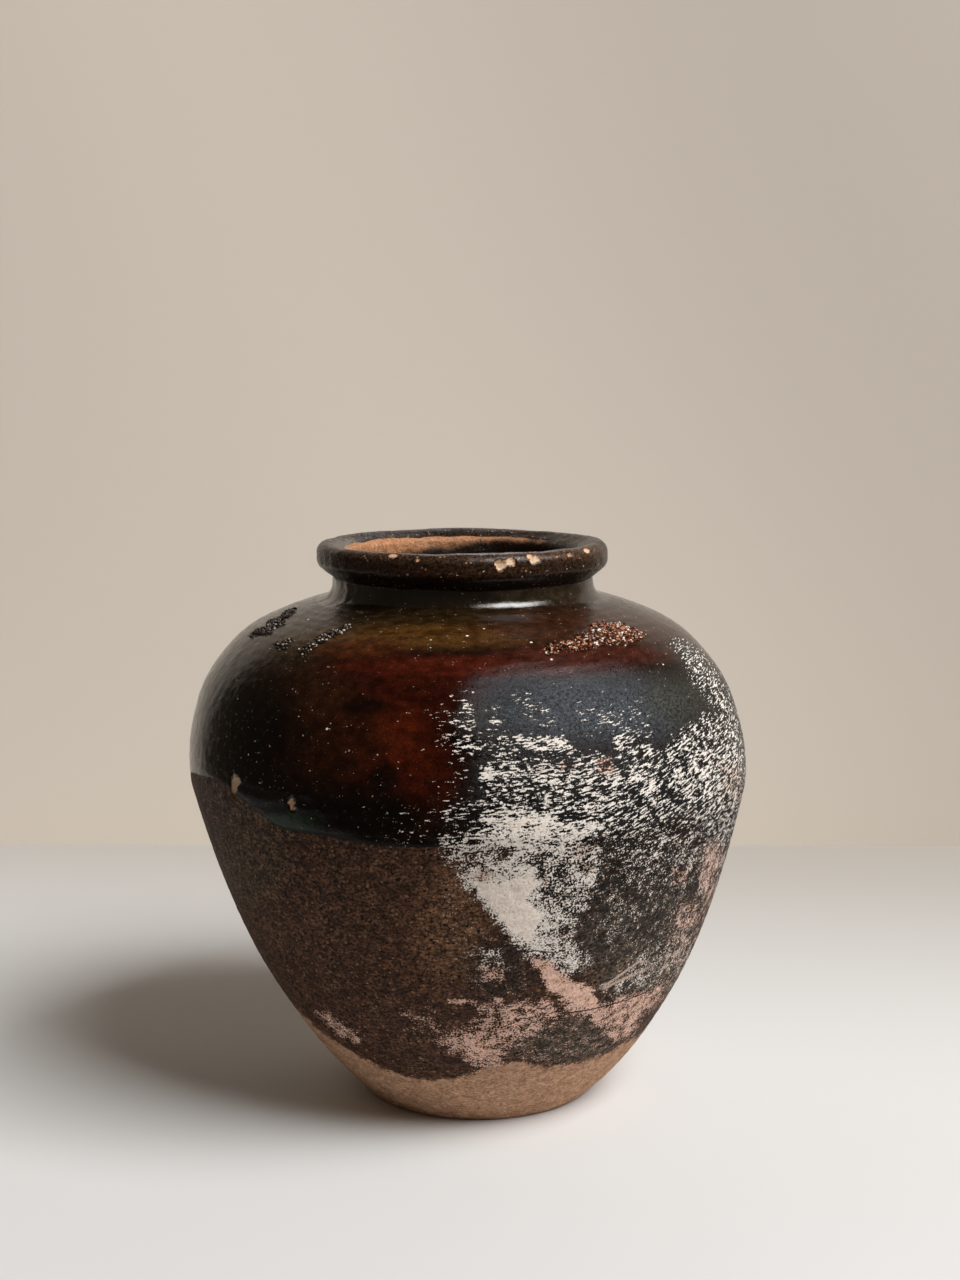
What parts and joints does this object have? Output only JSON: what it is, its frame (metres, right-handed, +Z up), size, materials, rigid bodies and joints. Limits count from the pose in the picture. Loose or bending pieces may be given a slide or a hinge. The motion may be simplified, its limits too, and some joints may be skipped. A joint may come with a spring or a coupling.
{
  "type": "martaban storage jar",
  "caption": "Squat glazed stoneware storage jar with a narrow foot, a wide high belly, a short neck and a rolled rim.",
  "frame": {"origin": "centre of the flat foot on the floor plane, on the jar's axis", "axes": "+Z up along the jar's axis, out of the mouth; -Y towards the side that the picture shows; +X to the right in the picture"},
  "size_m": [0.2932, 0.2932, 0.2926],
  "materials": {
    "clay": "bare fired stoneware, matte",
    "glaze": "dark brown iron glaze, glossy, worn",
    "slip": "thin dark slip with lime crust, matte",
    "kiln_grit": "rough fused grit"
  },
  "bodies": {
    "root": {"base_slab": "clay", "lower_wall": "clay", "upper_wall": "clay", "neck_collar": "clay", "rim_roll": "clay", "glaze_coat": "glaze", "slip_coat": "slip", "kiln_grit_front_left": "kiln_grit", "kiln_grit_far_left": "kiln_grit", "kiln_grit_front_right": "kiln_grit"}
  },
  "joints": []
}
